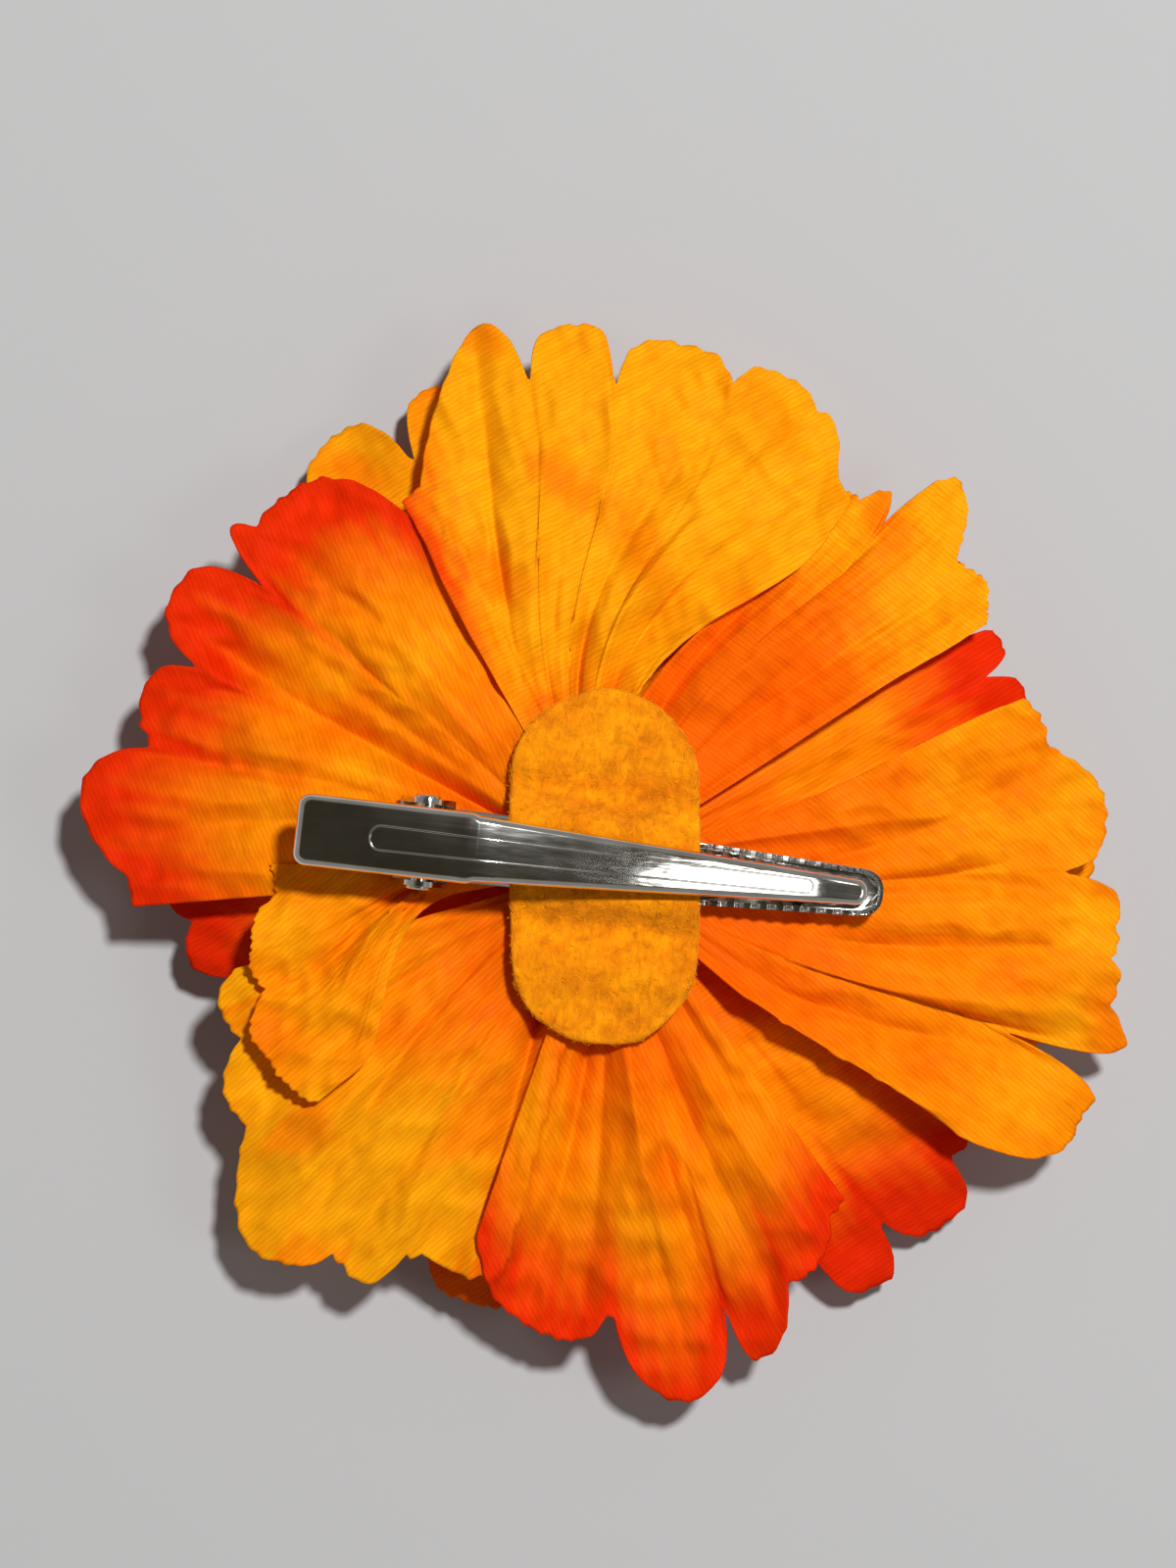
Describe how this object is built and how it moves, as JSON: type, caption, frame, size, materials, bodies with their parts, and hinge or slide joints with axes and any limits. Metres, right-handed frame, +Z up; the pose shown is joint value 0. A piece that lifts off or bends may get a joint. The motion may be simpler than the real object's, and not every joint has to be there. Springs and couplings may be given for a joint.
{
  "type": "flower hair clip",
  "caption": "Silk flower hair clip: layered cloth petals on a plastic hub, felt pad and a sprung alligator clip on the back.",
  "frame": {"origin": "on the flower's axis, on the surface that the face-down petals rest on", "axes": "+X along the clip from its tail to its tip, +Z up out of the back of the flower, where the clip is"},
  "size_m": [0.1061, 0.1063, 0.03],
  "materials": {
    "nickel": "polished",
    "spring_steel": "satin",
    "felt": "matte",
    "glue": "gloss",
    "hub_plastic": "satin",
    "stamen": "matte",
    "petal_cloth": "satin"
  },
  "bodies": {
    "flower": {"lower_jaw": "nickel", "hinge_pin": "nickel", "spring": "spring_steel", "felt_pad": "felt", "glue_bed": "glue", "rear_cap": "hub_plastic", "centre_peg": "hub_plastic", "rear_spacer": "hub_plastic", "middle_spacer": "hub_plastic", "front_spacer": "hub_plastic", "stamens": "stamen", "tongue_petal": "petal_cloth", "rear_petal_1": "petal_cloth", "rear_petal_2": "petal_cloth", "rear_petal_3": "petal_cloth", "rear_petal_4": "petal_cloth", "rear_petal_5": "petal_cloth", "rear_petal_6": "petal_cloth", "middle_petal_1": "petal_cloth", "middle_petal_2": "petal_cloth", "middle_petal_3": "petal_cloth", "middle_petal_4": "petal_cloth", "middle_petal_5": "petal_cloth", "middle_petal_6": "petal_cloth", "front_petal_1": "petal_cloth", "front_petal_2": "petal_cloth", "front_petal_3": "petal_cloth", "front_petal_4": "petal_cloth", "front_petal_5": "petal_cloth", "inner_petal_1": "petal_cloth", "inner_petal_2": "petal_cloth", "inner_petal_3": "petal_cloth", "inner_petal_4": "petal_cloth", "inner_petal_5": "petal_cloth"},
    "jaw": {"upper_jaw": "nickel"}
  },
  "joints": [
    {"name": "jaw_hinge", "type": "hinge", "parent": "flower", "child": "jaw", "pos_m": [-0.0177, 0.0005, 0.0252], "axis": [0, -1, 0], "range_deg": [0, 30], "stiffness_Nm_per_rad": 0.08, "springref_deg": -28.65, "deforming": ["spring"]}
  ]
}
